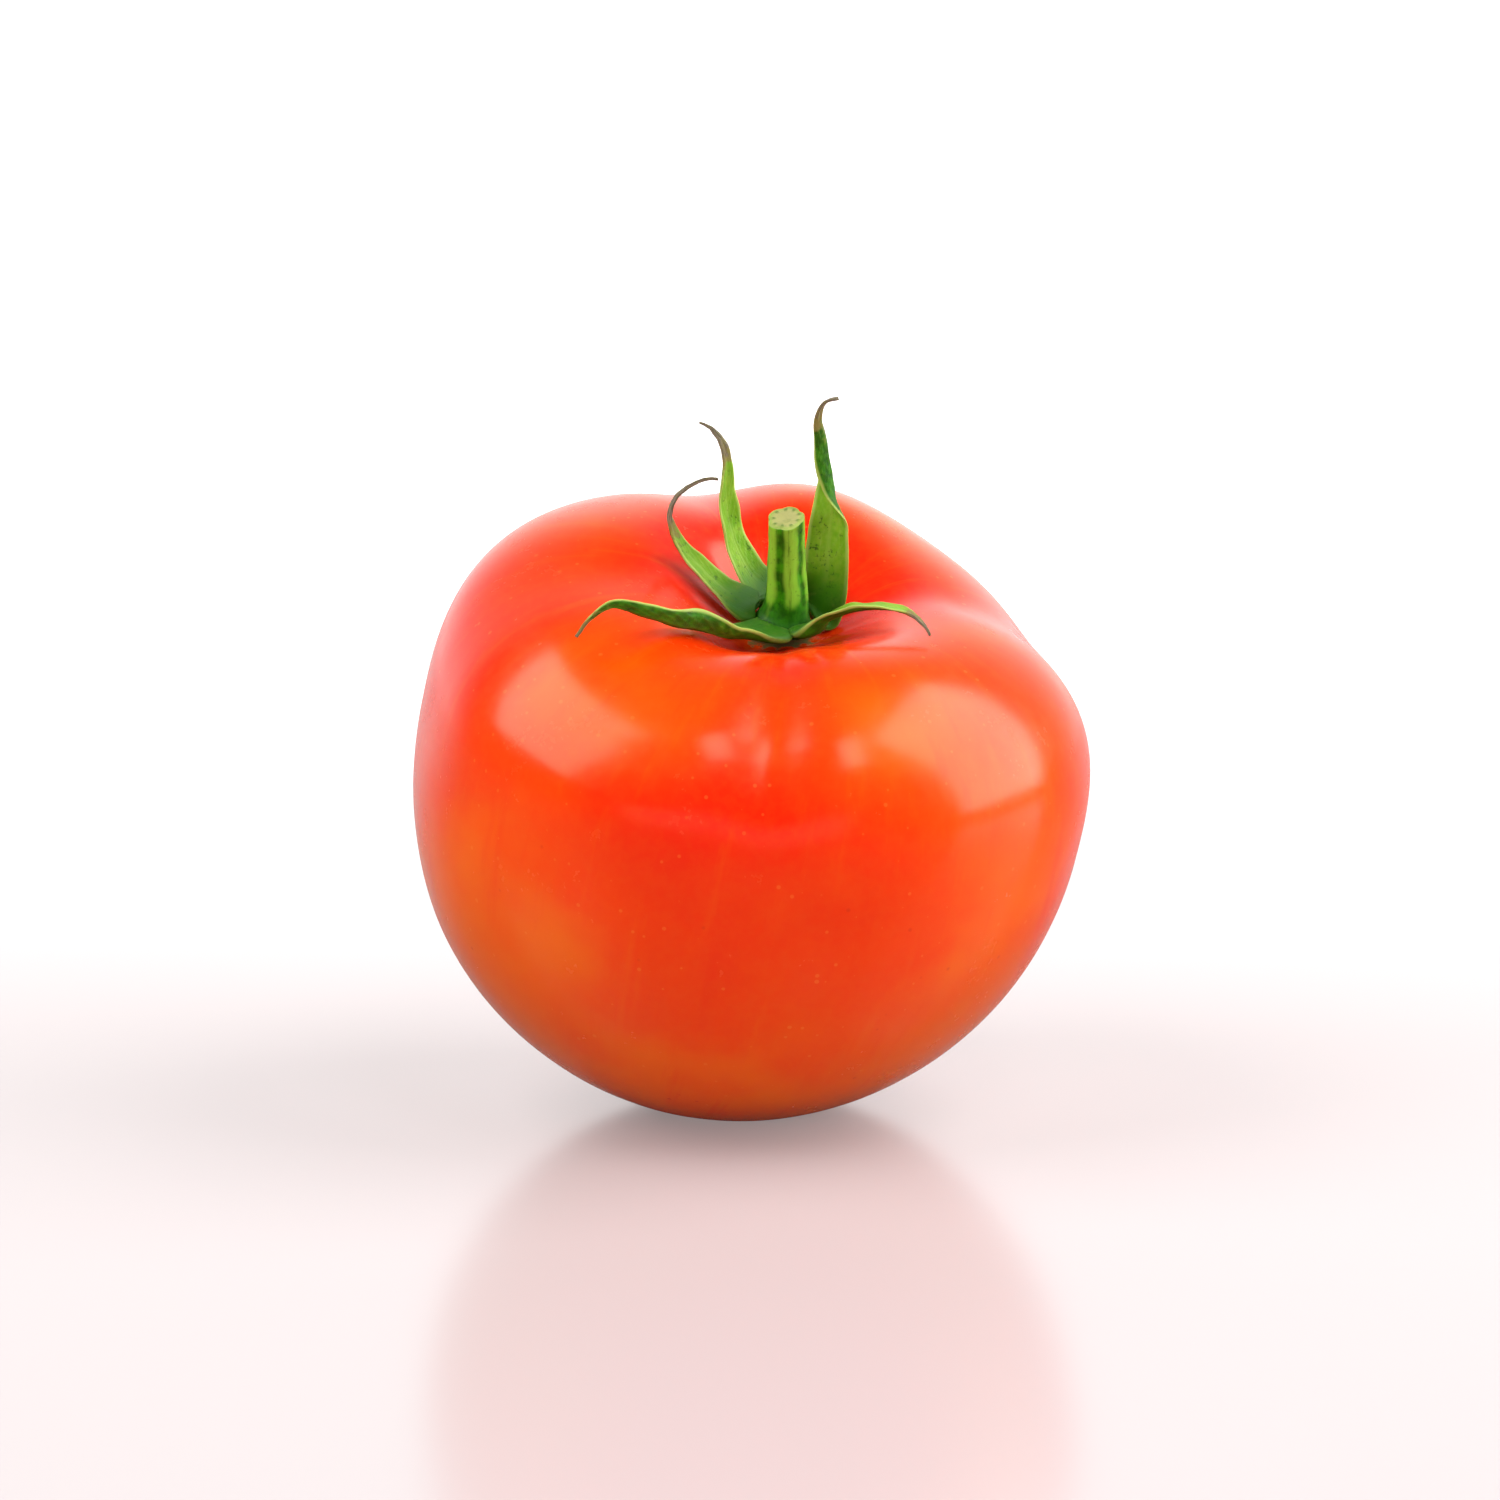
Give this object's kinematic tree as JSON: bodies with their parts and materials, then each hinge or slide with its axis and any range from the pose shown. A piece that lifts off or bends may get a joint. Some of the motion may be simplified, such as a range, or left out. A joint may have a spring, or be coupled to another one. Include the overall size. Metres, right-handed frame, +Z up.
{
  "type": "tomato",
  "caption": "Ripe round table tomato with shallow furrows, a cut green stem stub and a star of narrow curling sepals, resting on its blossom side.",
  "frame": {"origin": "centre of the small flat that the fruit rests on", "axes": "+Z up, -Y to the front where the stem end leans and the two spread sepals lie, +X to the right"},
  "size_m": [0.0794, 0.0795, 0.0861],
  "materials": {
    "skin": "smooth waxy skin with a clear gloss, orange-red, deeper red at the front",
    "stalk": "fleshy ribbed stalk, dull, with a pale yellow-green cut",
    "leaf": "thin soft leaf, dull, light inside and dark outside, with dry brown tips"
  },
  "bodies": {
    "root": {"fruit": "skin", "stem": "stalk", "sepal_front_left": "leaf", "sepal_front_right": "leaf", "sepal_right_upright": "leaf", "sepal_back_left": "leaf", "sepal_left_curled": "leaf"}
  },
  "joints": []
}
